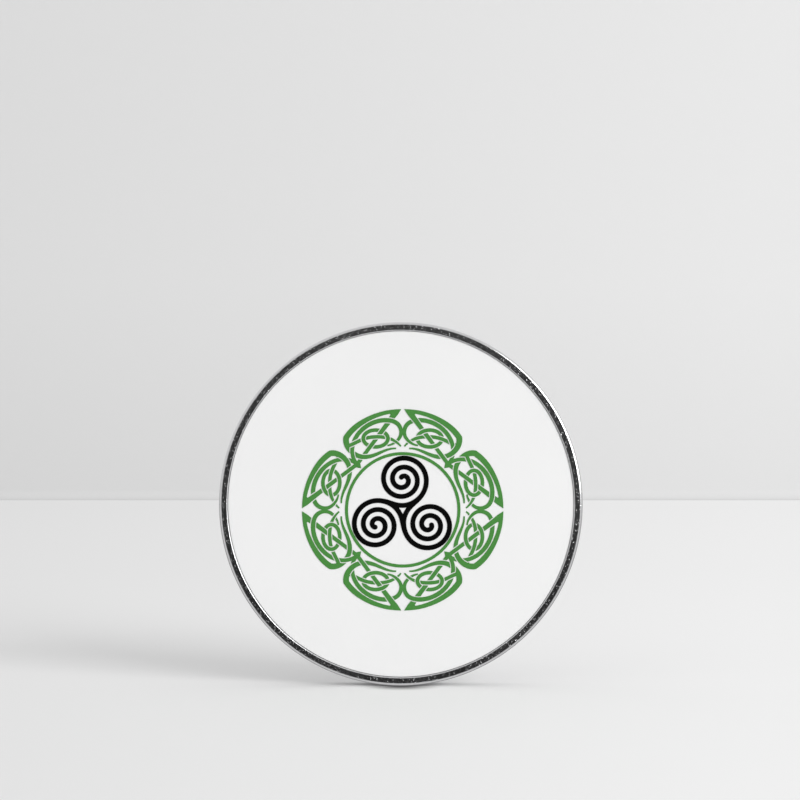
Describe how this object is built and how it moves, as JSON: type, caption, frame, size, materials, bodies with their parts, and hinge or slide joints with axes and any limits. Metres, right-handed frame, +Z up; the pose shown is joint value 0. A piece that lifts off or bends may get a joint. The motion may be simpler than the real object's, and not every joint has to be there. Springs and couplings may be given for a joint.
{
  "type": "golf ball marker",
  "caption": "Round golf ball marker: a plated steel coin with a glued-in aluminium insert, enamelled white and printed with a knotwork wreath round a triple spiral.",
  "frame": {"origin": "centre of the flat back face", "axes": "-Y out of the printed face, +Z up the picture, with the marker standing on its edge, +X to the right of someone who looks at the printed face"},
  "size_m": [0.025, 0.002, 0.025],
  "materials": {
    "plated_steel": "nickel-chrome plating, polished and lightly scuffed",
    "adhesive": "double-sided acrylic film, translucent milky",
    "insert_aluminium": "bare cut edge and back, fine rolling grain",
    "white_enamel": "baked white coat, semi-gloss",
    "green_ink": "cured print ink, leaf green, satin",
    "black_ink": "cured print ink, black, satin"
  },
  "bodies": {
    "root": {"marker_body": "plated_steel", "adhesive_film": "adhesive", "insert_plate": "insert_aluminium", "white_enamel": "white_enamel", "ring_print": "green_ink", "knot_print_top": "green_ink", "knot_print_right": "green_ink", "knot_print_bottom": "green_ink", "knot_print_left": "green_ink", "spiral_print": "black_ink"}
  },
  "joints": []
}
